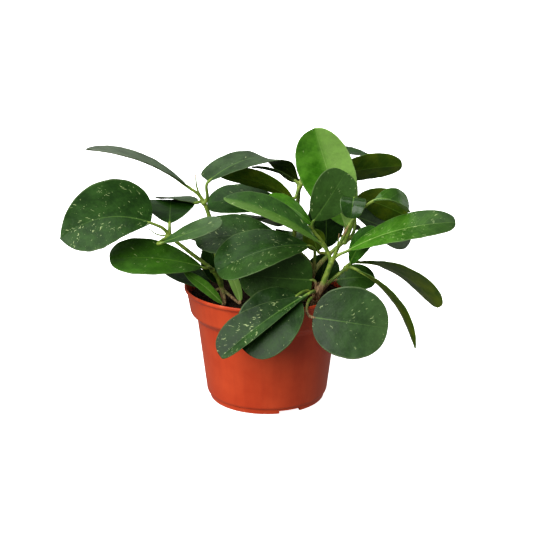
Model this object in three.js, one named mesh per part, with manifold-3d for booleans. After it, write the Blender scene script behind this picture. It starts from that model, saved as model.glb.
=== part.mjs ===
// Potted hoya: a young bushy plant with thick oval leaves, in a thin terracotta-coloured nursery pot.
// Millimetres, +Z up, origin at the bottom centre of the pot, the open side of the plant towards -Y.
import * as THREE from "three";
import Module from "manifold-3d";
import { mergeVertices } from "three/addons/utils/BufferGeometryUtils.js";

const wasm = await Module();
wasm.setup();

// Pot
const POT_HEIGHT = 116.5;
const RIM_RADIUS = 82.5;
const RIM_WALL = 1.6;
const RIM_LIP = 3;
const RIM_STEP = 5.2;
const EASED_EDGE = 0.8;
const BAND_TOP_RADIUS = 80.2;
const BAND_FOOT_RADIUS = 76.6;
const BAND_FOOT = 90.5;
const NECK_RADIUS = 70.2;
const NECK_HEIGHT = 84;
const HEEL_RADIUS = 61;
const HEEL_HEIGHT = 7;
const FOOT_RADIUS = 57.8;
const FOOT_DEPTH = 3;
const FOOT_RING = 2.6;
const WALL = 1.4;
const PAD_RADIUS = 16;
const POT_SIDES = 48;
const SLOT_COUNT = 5;
const SLOT_WIDTH = 22;
const SLOT_LENGTH = 16;
const FIRST_SLOT_DEG = -67;
const DRAIN_COUNT = 6;
const DRAIN_RADIUS = 5;
const DRAIN_SIDES = 12;
const DRAIN_CUT = 12;
const DRAIN_RING = 36;

// Soil
const SOIL_LEVEL = 103;
const SOIL_RELIEF = 1.5;
const SOIL_MARGIN = 2.4;
const SOIL_CLEAR = 0.6;
const SOIL_FADE = 8;
const SOIL_RINGS = 7;
const SOIL_SIDES = 30;
const ROOT_FOOT = 70;
const ROOT_EASE = 1.1;
const GAP = 0.35;

// Leaves and stalks
const LEAF_ROWS = 8;
const LEAF_COLUMNS = 4;
const LEAF_THICK = 1.5;
const LEAF_EDGE = 0.75;
const LEAF_CUP = 0.1;
const LEAF_TIP = 1.2;
const LEAF_CROWN = 0.5;
const LEAF_TWIST_POWER = 4;
const STALK_START = 1.8;
const STALK_END = 1.35;
const STALK_SQUARE = 0.5;
const STALK_RISE = 0.25;
const STALK_LEAD = 0.35;
const STALK_SIDES = 5;
const STALK_STEPS = 4;
const STEM_SIDES = 7;
const STEM_STEP = 10;
const NODE_RADIUS = 3.2;

const COLOURS = {
  pot: 0xcc5230,
  soil: 0x241a14,
  stem: 0x7f9240,
  wood: 0x8a7a58,
  old: 0x2d4f2a,
  mid: 0x3a6a2c,
  young: 0x57962f,
};

// Stems: each line is a run of points with the stem's radius there, and the first line's first point
// stands in the soil. Nodes are where leaf stalks spring, and shoots are bare young tips.
const STEMS = {
  stem_left: {
    tone: "stem",
    lines: [
      [[-43, -20, 108, 2.6], [-46, -19, 128, 2.5], [-51, -18, 160, 2.3],
        [-56, -17, 190, 2.2], [-61, -18, 205, 2]],
      [[-45, -20, 120, 2.3], [-53, -28, 139, 2.1], [-72, -37, 158, 2], [-93, -42, 177, 1.8]],
    ],
    nodes: { top: [-61, -18, 204], side: [-93, -42, 177], low: [-53, -28, 139], foot: [-44, -20, 116] },
    shoots: [
      [[-61, -18, 205, 1.5], [-67, -17, 217, 1], [-69, -16, 232, 0.5]],
      [[-93, -42, 178, 1], [-104, -46, 180, 0.7], [-112, -50, 187, 0.5]],
    ],
  },
  stem_front: {
    tone: "stem",
    lines: [
      [[45, -44, 106, 3.6], [47, -49, 117, 3.7], [54, -51, 134, 2.9], [61, -52, 154, 2.6]],
      [[47, -47, 117, 2.2], [59, -42, 130, 1.8], [76, -38, 144, 1.7]],
    ],
    nodes: { wood: [47, -49, 117], fork: [61, -52, 154], right: [76, -38, 144] },
    shoots: [[[61, -52, 154, 1.7], [66, -55, 168, 1.1], [68, -56, 184, 0.5]]],
  },
  stem_middle: {
    tone: "wood",
    lines: [
      [[40, -20, 108, 3], [43, -27, 124, 2.8], [46, -30, 139, 2.7],
        [60, -20, 152, 2.2], [76, -12, 164, 2]],
    ],
    nodes: { foot: [41, -23, 116], knob: [46, -30, 139], bend: [60, -20, 152], top: [76, -12, 163] },
    shoots: [],
  },
  stem_back: {
    tone: "stem",
    lines: [[[22, 16, 108, 2.8], [25, 18, 140, 2.6], [29, 15, 180, 2.3], [32, 12, 214, 2]]],
    nodes: { foot: [23, 17, 122], half: [28, 16, 168], top: [32, 12, 213] },
    shoots: [],
  },
  stem_rear: {
    tone: "stem",
    lines: [
      [[-14, 30, 108, 2.8], [-20, 36, 125, 2.6], [-27, 44, 145, 2.3], [-30, 50, 160, 2]],
      [[-15, 31, 116, 2.2], [0, 46, 128, 2], [18, 58, 140, 1.8]],
    ],
    nodes: { foot: [-16, 32, 117], top: [-30, 50, 159], side: [18, 58, 139] },
    shoots: [],
  },
};

// Leaves: the stem and node that the stalk springs from, the blade's base and tip, its width, how far
// the midrib arches, the way the upper side looks, the narrowness of the base and of the tip, and the age
// that sets the colour. Some also have a left half of their own (the narrowness of its base and tip, and
// its share of the width), a cup of their own, a twist in degrees that comes mostly near the tip, a crown of
// the arch that is nearer the base, a sideways sweep of the midrib, or a stalk that first leans by the
// millimetres given.
const LEAVES = {
  leaf_left_1: { from: ["stem_left", "side"], base: [-110, -50, 192.5], tip: [-191.5, -77, 184],
    width: 74, arch: 6, face: [-0.05, -0.75, 0.65], ends: [0.5, 0.95], left: [0.8, 0.4, 0.88],
    cup: 0.19, sweep: 11, tone: "old" },
  leaf_left_2: { from: ["stem_left", "side"], base: [-93, -38, 189], tip: [-96, 32, 194],
    width: 48, arch: 4, face: [0, -0.1, 1], ends: [0.7, 0.45], tone: "old" },
  leaf_left_3: { from: ["stem_left", "side"], base: [-98, -64, 177], tip: [-42, -56, 196],
    width: 30, arch: 0, face: [-0.2, -0.3, 1], ends: [0.85, 0.45], stalk: [-10, -10, -2], tone: "mid" },
  leaf_left_4: { from: ["stem_left", "low"], base: [-62, -42, 146], tip: [-148, -66, 161],
    width: 54, arch: 6, face: [0, -0.4, 0.92], ends: [0.8, 0.42], tone: "mid" },
  leaf_left_5: { from: ["stem_left", "foot"], base: [-56, -12, 114], tip: [-102, 2, 133],
    width: 38, arch: 4, face: [0, -0.2, 1], ends: [0.7, 0.5], tone: "old" },
  leaf_left_6: { from: ["stem_left", "top"], base: [-76, -22, 221], tip: [-171, -30, 259],
    width: 52, arch: 8, face: [0.2, 0.09, 1], ends: [0.8, 0.6], cup: 0.14, tone: "old" },
  leaf_left_7: { from: ["stem_left", "top"], base: [-56, -22, 226], tip: [32, 40, 212],
    width: 40, arch: 24, face: [0, -0.2, 1], ends: [0.9, 1.2], left: [0.13, 0.42, 1], cup: 0.1,
    twist: -80, stalk: [7, 0, 0], tone: "old" },
  leaf_left_8: { from: ["stem_left", "top"], base: [-70, -6, 201], tip: [-108, 50, 191.5],
    width: 32, arch: 2, face: [-0.05, 0.28, 1], ends: [0.7, 0.5], tone: "old" },
  leaf_left_9: { from: ["stem_left", "foot"], base: [-43, -43, 109.5], tip: [-79, -48, 143],
    width: 12, arch: 3, face: [0.5, -0.7, 0.5], ends: [0.7, 0.6], tone: "young" },
  leaf_left_10: { from: ["stem_left", "foot"], base: [-26, -35, 110], tip: [-44, -31, 152],
    width: 10, arch: 2, face: [-0.2, -1, 0.1], ends: [0.45, 0.5], sweep: 3, stalk: [6, -10, 0],
    tone: "young" },
  leaf_left_11: { from: ["stem_left", "foot"], base: [-46, -4, 118], tip: [-58, 4, 154],
    width: 28, arch: 2, face: [0.3, -0.9, 0.2], ends: [0.6, 0.5], tone: "old" },

  leaf_mid_1: { from: ["stem_middle", "knob"], base: [14, -24, 165], tip: [-69, -36, 172],
    width: 52, arch: 8, face: [0, -0.55, 0.85], ends: [0.6, 0.45], tone: "old" },
  leaf_mid_2: { from: ["stem_middle", "knob"], base: [40, -44, 168], tip: [-46, -74, 150],
    width: 56, arch: 12, face: [-0.2, -0.5, 0.85], ends: [0.8, 0.42], cup: 0.18, tone: "old" },
  leaf_mid_3: { from: ["stem_front", "wood"], base: [43, -50, 136], tip: [-26, -54, 142],
    width: 54, arch: 3, face: [0, -0.97, 0.25], ends: [0.34, 0.45], tone: "old" },
  leaf_mid_4: { from: ["stem_middle", "bend"], base: [50, -13, 154], tip: [42, -13, 176],
    width: 22, arch: 1, face: [0.1, 0.9, 0.2], ends: [0.6, 0.5], tone: "mid" },
  leaf_mid_5: { from: ["stem_middle", "bend"], base: [59, 7, 152], tip: [58, 10, 204],
    width: 36, arch: 3, face: [0, -1, 0.2], ends: [0.6, 0.5], tone: "old" },
  leaf_mid_6: { from: ["stem_middle", "foot"], base: [53, -9, 120], tip: [58, -5, 148],
    width: 32, arch: 2, face: [0, -1, 0.1], ends: [0.5, 0.5], tone: "old" },

  leaf_top_1: { from: ["stem_middle", "top"], base: [77, -9, 178], tip: [46, -2, 274],
    width: 54, arch: -6, face: [-0.2, -0.9, 0.2], ends: [0.55, 0.43], left: [0.75, 0.42, 1], cup: 0.32,
    sweep: -1.5, tone: "young" },
  leaf_top_2: { from: ["stem_middle", "bend"], base: [45, -28, 189], tip: [75, -25, 236],
    width: 40, arch: 3, face: [0.2, -0.95, 0.2], ends: [0.7, 0.38], tone: "old" },
  leaf_top_3: { from: ["stem_middle", "top"], base: [81.5, -50, 216.5], tip: [77.5, -72, 203],
    width: 23.5, arch: 8, face: [0, -0.7, 0.7], ends: [0.35, 0.35], stalk: [12, -4, 20], tone: "mid" },
  leaf_top_4: { from: ["stem_back", "top"], base: [62, 14, 222], tip: [134, 26, 231],
    width: 35, arch: 4, face: [0.1, 0.8, 0.5], ends: [0.6, 0.45], tone: "mid" },
  leaf_top_5: { from: ["stem_back", "top"], base: [50, 24, 244], tip: [106, 40, 236],
    width: 30, arch: 4, face: [0.1, -0.05, 1], ends: [0.6, 0.5], tone: "old" },
  leaf_top_6: { from: ["stem_middle", "top"], base: [88, 0, 205], tip: [138, 8, 184],
    width: 36, arch: 4, face: [0.1, 0.9, 0.35], ends: [0.55, 0.5], left: [1.2, 0.6, 1],
    stalk: [20, 4, 0], tone: "mid" },
  leaf_top_7: { from: ["stem_middle", "top"], base: [87, 16, 182], tip: [144, 20, 155],
    width: 32, arch: 3, face: [0.3, -0.8, 0.5], ends: [1.3, 0.5], left: [0.45, 0.7, 1], tone: "old" },

  leaf_front_1: { from: ["stem_front", "wood"], base: [37, -79, 130.5], tip: [-42.5, -112, 80.5],
    width: 43, arch: 7, face: [-0.35, -0.75, 0.55], ends: [1.15, 0.45], left: [0.85, 0.45, 0.4],
    cup: 0.16, tone: "old" },
  leaf_front_2: { from: ["stem_front", "wood"], base: [28, -75, 128], tip: [-19, -101, 81],
    width: 62, arch: 5, face: [-0.15, -0.85, 0.5], ends: [0.42, 0.45], left: [0.5, 0.42, 0.86],
    tone: "old" },
  leaf_front_3: { from: ["stem_front", "wood"], base: [43, -84, 110], tip: [113, -90, 101],
    width: 67, arch: 4, face: [0.1, -0.9, 0.35], ends: [0.45, 0.45], stalk: [-6, -14, 16],
    tone: "old" },
  leaf_front_4: { from: ["stem_front", "fork"], base: [50, -54, 174], tip: [-40, -72, 222],
    width: 37, arch: 8, face: [0.2, -0.35, 1], ends: [1.15, 0.85], left: [0.7, 0.5, 1.24], cup: 0.28,
    tone: "mid" },
  leaf_front_5: { from: ["stem_front", "fork"], base: [78, -57, 168], tip: [174, -78, 200],
    width: 41, arch: 8, face: [-0.2, -0.35, 0.9], ends: [0.75, 0.4], tone: "young" },
  leaf_front_6: { from: ["stem_front", "fork"], base: [100, -50, 214], tip: [134, -42, 201],
    width: 26, arch: 6, crown: 0.25, face: [0.38, -0.2, 0.9], ends: [0.6, 0.5], left: [1.3, 0.35, 1.25],
    cup: 0.5, stalk: [2, 0, 10], tone: "young" },

  leaf_right_1: { from: ["stem_front", "right"], base: [80, -42, 150], tip: [104, -44, 186],
    width: 26, arch: 4, face: [-0.7, -0.6, 0.5], ends: [0.7, 0.5], tone: "mid" },
  leaf_right_2: { from: ["stem_front", "right"], base: [88, -30, 148], tip: [169, -20, 98],
    width: 50, arch: 12, face: [0.5, 0.45, 0.7], ends: [0.7, 0.42], tone: "mid" },
  leaf_right_3: { from: ["stem_front", "right"], base: [88, -46, 144], tip: [143, -60, 70],
    width: 24, arch: 11.5, face: [0.8, 0.35, 0.4], ends: [0.8, 0.7], tone: "mid" },
  leaf_right_4: { from: ["stem_middle", "foot"], base: [68, -22, 127], tip: [106, -18, 127],
    width: 28, arch: 4, face: [0, -0.7, 0.7], ends: [0.5, 0.45], tone: "old" },

  leaf_back_1: { from: ["stem_back", "top"], base: [27, 13, 219], tip: [-15, 18, 231],
    width: 22, arch: 3, face: [0.3, 0.3, 1], ends: [0.7, 0.6], tone: "old" },
  leaf_back_2: { from: ["stem_back", "top"], base: [25, 1, 204], tip: [-46, 2, 227],
    width: 38, arch: 6, face: [-0.1, 0.6, 0.8], ends: [0.7, 0.5], tone: "mid" },
  leaf_back_3: { from: ["stem_back", "half"], base: [14, 12, 195], tip: [-59, 14, 195],
    width: 46, arch: 5, face: [0, -0.4, 0.9], ends: [0.7, 0.42], tone: "old" },
  leaf_back_4: { from: ["stem_back", "half"], base: [43, -16, 182], tip: [0, -24, 210],
    width: 37, arch: 4, face: [0.3, -0.2, 0.9], ends: [0.6, 0.5], tone: "young" },
  leaf_back_5: { from: ["stem_back", "half"], base: [38, 24, 172], tip: [92, 60, 156],
    width: 46, arch: 7, face: [0.1, 0.1, 1], ends: [0.6, 0.5], tone: "old" },
  leaf_back_6: { from: ["stem_back", "half"], base: [20, 28, 176], tip: [-12, 92, 168],
    width: 48, arch: 7, face: [0, 0.2, 1], ends: [0.6, 0.5], tone: "old" },

  leaf_rear_1: { from: ["stem_rear", "top"], base: [-42, 60, 156], tip: [-70, 118, 126],
    width: 50, arch: 4, face: [-0.1, 0.4, 1], ends: [0.6, 0.5], tone: "old" },
  leaf_rear_2: { from: ["stem_rear", "top"], base: [-20, 60, 163], tip: [12, 124, 142],
    width: 50, arch: 8, face: [0.1, 0.4, 1], ends: [0.65, 0.45], tone: "old" },
  leaf_rear_3: { from: ["stem_rear", "side"], base: [24, 68, 144], tip: [44, 138, 118],
    width: 52, arch: 9, face: [0.1, 0.4, 1], ends: [0.6, 0.45], tone: "mid" },
  leaf_rear_4: { from: ["stem_rear", "side"], base: [30, 54, 146], tip: [96, 84, 134],
    width: 48, arch: 8, face: [0.2, 0.2, 1], ends: [0.6, 0.5], tone: "old" },
  leaf_rear_5: { from: ["stem_rear", "foot"], base: [-26, 40, 128], tip: [-58, 98, 118],
    width: 46, arch: 8, face: [-0.1, 0.2, 1], ends: [0.6, 0.5], tone: "old" },
  leaf_rear_6: { from: ["stem_rear", "foot"], base: [-6, 48, 126], tip: [2, 118, 112],
    width: 48, arch: 9, face: [0, 0.3, 1], ends: [0.6, 0.45], tone: "mid" },
};

function finish(tone, roughness) {
  return new THREE.MeshStandardMaterial({ color: COLOURS[tone], roughness, metalness: 0 });
}

// A closed solid from points and triangles.
function solid(points, triangles) {
  const vertProperties = new Float32Array(points.flatMap((point) => point.toArray()));
  const triVerts = new Uint32Array(triangles);
  return new wasm.Manifold(new wasm.Mesh({ numProp: 3, vertProperties, triVerts }));
}

// A closed solid from a three.js geometry.
function solidOf(geometry) {
  geometry.deleteAttribute("normal");
  geometry.deleteAttribute("uv");
  const merged = mergeVertices(geometry, 1e-4);
  const vertProperties = merged.attributes.position.array;
  const triVerts = new Uint32Array(merged.index.array);
  return new wasm.Manifold(new wasm.Mesh({ numProp: 3, vertProperties, triVerts }));
}

function meshOf(name, body, look) {
  const made = body.getMesh();
  const geometry = new THREE.BufferGeometry();
  geometry.setAttribute("position", new THREE.BufferAttribute(made.vertProperties, 3));
  geometry.setIndex(new THREE.BufferAttribute(made.triVerts, 1));
  geometry.computeVertexNormals();
  const mesh = new THREE.Mesh(geometry, look);
  mesh.name = name;
  return mesh;
}

// A solid turned about the Z axis, from a profile of radius and height that starts and ends on the axis.
function turned(profile, sides) {
  const points = profile.map(([radius, height]) => new THREE.Vector2(radius, height));
  return solidOf(new THREE.LatheGeometry(points, sides).rotateX(Math.PI / 2));
}

// A closed tube through points, each with its own radius in w, that keeps its sections square to its run.
function tube(stations, sides) {
  const centres = stations.map((station) => new THREE.Vector3(station.x, station.y, station.z));
  const points = [];
  const side = new THREE.Vector3(1, 0, 0);
  stations.forEach((station, i) => {
    const before = centres[Math.max(i - 1, 0)];
    const after = centres[Math.min(i + 1, centres.length - 1)];
    const along = after.clone().sub(before).normalize();
    side.addScaledVector(along, -side.dot(along)).normalize();
    const across = along.clone().cross(side);
    for (let k = 0; k < sides; k += 1) {
      const angle = (k / sides) * 2 * Math.PI;
      const point = centres[i].clone().addScaledVector(side, station.w * Math.cos(angle));
      points.push(point.addScaledVector(across, station.w * Math.sin(angle)));
    }
  });
  const triangles = [];
  for (let i = 0; i + 1 < stations.length; i += 1) {
    for (let k = 0; k < sides; k += 1) {
      const here = i * sides + k;
      const next = i * sides + ((k + 1) % sides);
      triangles.push(here, next, next + sides, here, next + sides, here + sides);
    }
  }
  const last = (stations.length - 1) * sides;
  for (let k = 1; k + 1 < sides; k += 1) {
    triangles.push(0, k + 1, k, last, last + k, last + k + 1);
  }
  return solid(points, triangles);
}

// The stations of a smooth run through points that carry their radius as a fourth value.
function smooth(line, step) {
  const places = line.map(([x, y, z]) => new THREE.Vector3(x, y, z));
  const route = new THREE.CatmullRomCurve3(places, false, "centripetal");
  const stations = [];
  line.slice(1).forEach((end, i) => {
    const start = line[i];
    const span = Math.hypot(end[0] - start[0], end[1] - start[1], end[2] - start[2]);
    const steps = Math.max(1, Math.round(span / step));
    for (let k = i === 0 ? 0 : 1; k <= steps; k += 1) {
      const place = route.getPoint((i + k / steps) / (line.length - 1));
      const radius = start[3] + ((end[3] - start[3]) * k) / steps;
      stations.push(new THREE.Vector4(place.x, place.y, place.z, radius));
    }
  });
  return stations;
}

function vector(values) {
  return new THREE.Vector3(...values);
}

// The blade's midrib and the way its upper side looks, at a share of its length.
function midrib(leaf, share) {
  const base = vector(leaf.base);
  const tip = vector(leaf.tip);
  const chord = tip.clone().sub(base).normalize();
  const face = vector(leaf.face);
  face.addScaledVector(chord, -face.dot(chord)).normalize();
  const aside = chord.clone().cross(face);
  const crown = base.clone().lerp(tip, leaf.crown ?? LEAF_CROWN);
  crown.addScaledVector(face, 2 * leaf.arch).addScaledVector(aside, 2 * (leaf.sweep ?? 0));
  const route = new THREE.QuadraticBezierCurve3(base, crown, tip);
  const along = route.getTangent(share);
  const turn = THREE.MathUtils.degToRad((leaf.twist ?? 0) * share ** LEAF_TWIST_POWER);
  const up = face.clone().applyAxisAngle(chord, turn);
  up.addScaledVector(along, -up.dot(along)).normalize();
  return { place: route.getPoint(share), along, up, across: along.clone().cross(up) };
}

// Half of the blade's width at a share of its length, on the side that is negative for the left.
function halfWidth(leaf, share, side) {
  const [base, tip, part] = side < 0 && leaf.left ? leaf.left : [...leaf.ends, 1];
  const peak = base / (base + tip);
  const fullest = peak ** base * (1 - peak) ** tip;
  const fill = (share ** base * (1 - share) ** tip) / fullest;
  return Math.max((leaf.width / 2) * part * fill, LEAF_TIP);
}

// A thick leaf blade, slightly channelled, with its upper and lower faces on the same grid.
function blade(leaf) {
  const columns = LEAF_COLUMNS + 1;
  const upper = [];
  const lower = [];
  for (let i = 0; i <= LEAF_ROWS; i += 1) {
    const share = (1 - Math.cos((Math.PI * i) / LEAF_ROWS)) / 2;
    const { place, up, across } = midrib(leaf, share);
    for (let j = 0; j < columns; j += 1) {
      const side = (2 * j) / LEAF_COLUMNS - 1;
      const half = halfWidth(leaf, share, side);
      const thick = LEAF_THICK + (LEAF_EDGE - LEAF_THICK) * side * side;
      const lift = (leaf.cup ?? LEAF_CUP) * half * side * side;
      const middle = place.clone().addScaledVector(across, half * side).addScaledVector(up, lift);
      upper.push(middle.clone().addScaledVector(up, thick / 2));
      lower.push(middle.clone().addScaledVector(up, -thick / 2));
    }
  }
  const flip = upper.length;
  const triangles = [];
  const face = (a, b, c) => triangles.push(a, b, c);
  for (let i = 0; i < LEAF_ROWS; i += 1) {
    for (let j = 0; j < LEAF_COLUMNS; j += 1) {
      const here = i * columns + j;
      const next = here + columns;
      face(here, here + 1, next + 1);
      face(here, next + 1, next);
      face(flip + here, flip + next + 1, flip + here + 1);
      face(flip + here, flip + next, flip + next + 1);
    }
    const left = i * columns;
    const right = left + LEAF_COLUMNS;
    face(left, left + columns, flip + left + columns);
    face(left, flip + left + columns, flip + left);
    face(right, flip + right + columns, right + columns);
    face(right, flip + right, flip + right + columns);
  }
  const tip = LEAF_ROWS * columns;
  for (let j = 0; j < LEAF_COLUMNS; j += 1) {
    face(j, flip + j, flip + j + 1);
    face(j, flip + j + 1, j + 1);
    face(tip + j, tip + j + 1, flip + tip + j + 1);
    face(tip + j, flip + tip + j + 1, flip + tip + j);
  }
  return solid([...upper, ...lower], triangles);
}

// The stalk from a stem's node to just short of the blade, arriving along the midrib.
function stalk(leaf, node) {
  const { place, along } = midrib(leaf, 0);
  const start = vector(node);
  const end = place.clone().addScaledVector(along, -GAP);
  const reach = start.distanceTo(end);
  const rise = new THREE.Vector3(0, 0, STALK_RISE * reach);
  const first = start.clone().lerp(end, 0.25).add(leaf.stalk ? vector(leaf.stalk) : rise);
  const second = end.clone().addScaledVector(along, -reach * STALK_LEAD);
  const route = new THREE.CubicBezierCurve3(start, first, second, end);
  const stations = [];
  for (let i = 0; i <= STALK_STEPS; i += 1) {
    const share = i / STALK_STEPS;
    const radius = STALK_START + (STALK_END - STALK_START) * share;
    const point = route.getPoint(share);
    stations.push(new THREE.Vector4(point.x, point.y, point.z, radius));
  }
  const square = end.clone().addScaledVector(along, -STALK_SQUARE);
  stations.splice(STALK_STEPS, 0, new THREE.Vector4(square.x, square.y, square.z, STALK_END));
  return tube(stations, STALK_SIDES);
}

// The straight foot of a stem below the soil's surface, or the hole that it stands in.
function root(line, spare) {
  const [x, y, z, radius] = line[0];
  const thick = radius + spare * ROOT_EASE;
  const stations = [ROOT_FOOT - spare, z].map((height) => new THREE.Vector4(x, y, height, thick));
  return tube(stations, STEM_SIDES);
}

function stem(name) {
  const { lines, nodes, shoots } = STEMS[name];
  let body = root(lines[0], 0);
  for (const line of [...lines, ...shoots]) {
    body = body.add(tube(smooth(line, STEM_STEP), STEM_SIDES));
  }
  for (const [key, node] of Object.entries(nodes)) {
    const swelling = solidOf(new THREE.IcosahedronGeometry(NODE_RADIUS, 0).translate(...node));
    body = body.add(swelling);
    for (const leaf of Object.values(LEAVES)) {
      if (leaf.from[0] === name && leaf.from[1] === key) {
        body = body.add(stalk(leaf, node));
      }
    }
  }
  return body;
}

function pot() {
  const floor = FOOT_DEPTH + WALL;
  const profile = [
    [0, 0],
    [PAD_RADIUS, 0],
    [PAD_RADIUS + 1, FOOT_DEPTH],
    [FOOT_RADIUS - FOOT_RING - EASED_EDGE, FOOT_DEPTH],
    [FOOT_RADIUS - FOOT_RING, 0],
    [FOOT_RADIUS, 0],
    [FOOT_RADIUS + 0.4, HEEL_HEIGHT - 2],
    [HEEL_RADIUS - EASED_EDGE, HEEL_HEIGHT - 1],
    [HEEL_RADIUS, HEEL_HEIGHT + 1],
    [NECK_RADIUS, NECK_HEIGHT],
    [BAND_FOOT_RADIUS, BAND_FOOT],
    [BAND_TOP_RADIUS, POT_HEIGHT - RIM_STEP],
    [RIM_RADIUS, POT_HEIGHT - RIM_LIP],
    [RIM_RADIUS, POT_HEIGHT - EASED_EDGE],
    [RIM_RADIUS - EASED_EDGE, POT_HEIGHT],
    [RIM_RADIUS - RIM_WALL, POT_HEIGHT],
    [BAND_TOP_RADIUS - WALL, POT_HEIGHT - RIM_STEP],
    [BAND_FOOT_RADIUS - WALL, BAND_FOOT + 0.6],
    [NECK_RADIUS - WALL, NECK_HEIGHT + 0.6],
    [HEEL_RADIUS - WALL, HEEL_HEIGHT + 1],
    [FOOT_RADIUS - 1.6, floor],
    [0, floor],
  ];
  let body = turned(profile, POT_SIDES);
  for (let i = 0; i < SLOT_COUNT; i += 1) {
    const turn = THREE.MathUtils.degToRad(FIRST_SLOT_DEG + (360 / SLOT_COUNT) * i);
    const slot = new THREE.BoxGeometry(SLOT_LENGTH, SLOT_WIDTH, 2 * FOOT_DEPTH);
    body = body.subtract(solidOf(slot.translate(FOOT_RADIUS + 2, 0, 0).rotateZ(turn)));
  }
  for (let i = 0; i < DRAIN_COUNT; i += 1) {
    const turn = (i / DRAIN_COUNT) * 2 * Math.PI;
    const hole = new THREE.CylinderGeometry(DRAIN_RADIUS, DRAIN_RADIUS, DRAIN_CUT, DRAIN_SIDES);
    hole.rotateX(Math.PI / 2).translate(DRAIN_RING, 0, FOOT_DEPTH).rotateZ(turn);
    body = body.subtract(solidOf(hole));
  }
  return body;
}

// Potting soil that fills the pot, with a slightly uneven top and a plain hole for each stem.
function soil() {
  const edge = BAND_TOP_RADIUS - WALL - SOIL_MARGIN;
  const outline = [
    [0, FOOT_DEPTH + WALL + GAP],
    [FOOT_RADIUS - 2.2, FOOT_DEPTH + WALL + GAP],
    [HEEL_RADIUS - WALL - SOIL_CLEAR, HEEL_HEIGHT + 1.4],
    [NECK_RADIUS - WALL - SOIL_CLEAR, NECK_HEIGHT + 0.8],
    [BAND_FOOT_RADIUS - WALL - SOIL_CLEAR, BAND_FOOT + 0.8],
    [edge, SOIL_LEVEL],
  ];
  for (let i = SOIL_RINGS - 1; i >= 0; i -= 1) {
    outline.push([(edge * i) / SOIL_RINGS, SOIL_LEVEL]);
  }
  const shape = outline.map(([radius, height]) => new THREE.Vector2(radius, height));
  const geometry = new THREE.LatheGeometry(shape, SOIL_SIDES).rotateX(Math.PI / 2);
  const place = geometry.attributes.position;
  for (let i = 0; i < place.count; i += 1) {
    const [x, y, z] = [place.getX(i), place.getY(i), place.getZ(i)];
    if (z > SOIL_LEVEL - 1) {
      const wave = Math.sin(x / 9 + 1) * Math.cos(y / 11) + 0.5 * Math.sin((x - y) / 6);
      const fade = Math.min(1, (edge - Math.hypot(x, y)) / SOIL_FADE);
      place.setZ(i, z + SOIL_RELIEF * wave * Math.max(fade, 0));
    }
  }
  let body = solidOf(geometry);
  for (const { lines } of Object.values(STEMS)) {
    body = body.subtract(root(lines[0], GAP));
  }
  return body;
}

const plant = new THREE.Group();
plant.name = "potted_hoya";
plant.add(meshOf("pot", pot(), finish("pot", 0.45)));
plant.add(meshOf("soil", soil(), finish("soil", 0.95)));
for (const [name, { tone }] of Object.entries(STEMS)) {
  plant.add(meshOf(name, stem(name), finish(tone, 0.55)));
}
for (const [name, leaf] of Object.entries(LEAVES)) {
  plant.add(meshOf(name, blade(leaf), finish(leaf.tone, 0.35)));
}

export default plant;
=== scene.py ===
import math

import bpy
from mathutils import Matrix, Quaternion, Vector, noise


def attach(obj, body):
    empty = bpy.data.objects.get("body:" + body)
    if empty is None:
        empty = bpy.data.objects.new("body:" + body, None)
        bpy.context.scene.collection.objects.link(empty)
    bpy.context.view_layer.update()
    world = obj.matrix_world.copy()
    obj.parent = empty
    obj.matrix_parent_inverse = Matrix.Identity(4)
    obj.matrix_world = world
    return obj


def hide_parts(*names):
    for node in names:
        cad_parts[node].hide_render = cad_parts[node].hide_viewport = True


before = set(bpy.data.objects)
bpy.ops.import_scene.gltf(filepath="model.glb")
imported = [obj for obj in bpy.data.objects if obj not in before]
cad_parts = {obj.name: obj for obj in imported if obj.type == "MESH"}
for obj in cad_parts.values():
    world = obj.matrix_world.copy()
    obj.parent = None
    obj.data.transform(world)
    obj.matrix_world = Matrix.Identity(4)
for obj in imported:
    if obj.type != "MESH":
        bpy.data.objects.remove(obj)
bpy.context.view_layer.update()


# ---------------------------------------------------------------------------------------------------------
# The pot: a thin terracotta-coloured nursery pot, injection moulded in one piece of satin plastic, with a
# lip, a rim band over a sloping step, a tapered wall, and a foot ring with slots. It stands on its foot,
# and everything else stands in it.

MM = 0.001
POT_HEIGHT = 116.5
RIM_RADIUS = 82.5
BAND_TOP_RADIUS = 80.2
BAND_FOOT_RADIUS = 76.6
BAND_FOOT = 90.5
NECK_RADIUS = 70.2
NECK_HEIGHT = 84
HEEL_RADIUS = 61
HEEL_HEIGHT = 7
FOOT_RADIUS = 57.8
FOOT_DEPTH = 3
WALL = 1.4
LIP = 1.6
BAND_LEAN = 0.176
PAD_RADIUS = 16
POT_SIDES = 168
SLOTS = {"Slot count": 5, "Slot ring radius": 59.8 * MM, "Slot length": 16 * MM, "Slot width": 22 * MM,
         "Slot height": 6 * MM, "First slot angle": math.radians(-67)}
DRAINS = {"Drain count": 6, "Drain ring radius": 36 * MM, "Drain radius": 5 * MM}
DRAIN_SIDES = 32
DRILL_LENGTH = 12
FILLET_STEPS = 5
CREASE_DEG = 50


def srgb(red, green, blue):
    """A colour for a shader, from how it looks on a screen, 0 to 255."""
    parts = []
    for part in (red, green, blue):
        part /= 255
        parts.append(part / 12.92 if part <= 0.04045 else ((part + 0.055) / 1.055) ** 2.4)
    return (*parts, 1.0)


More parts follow.
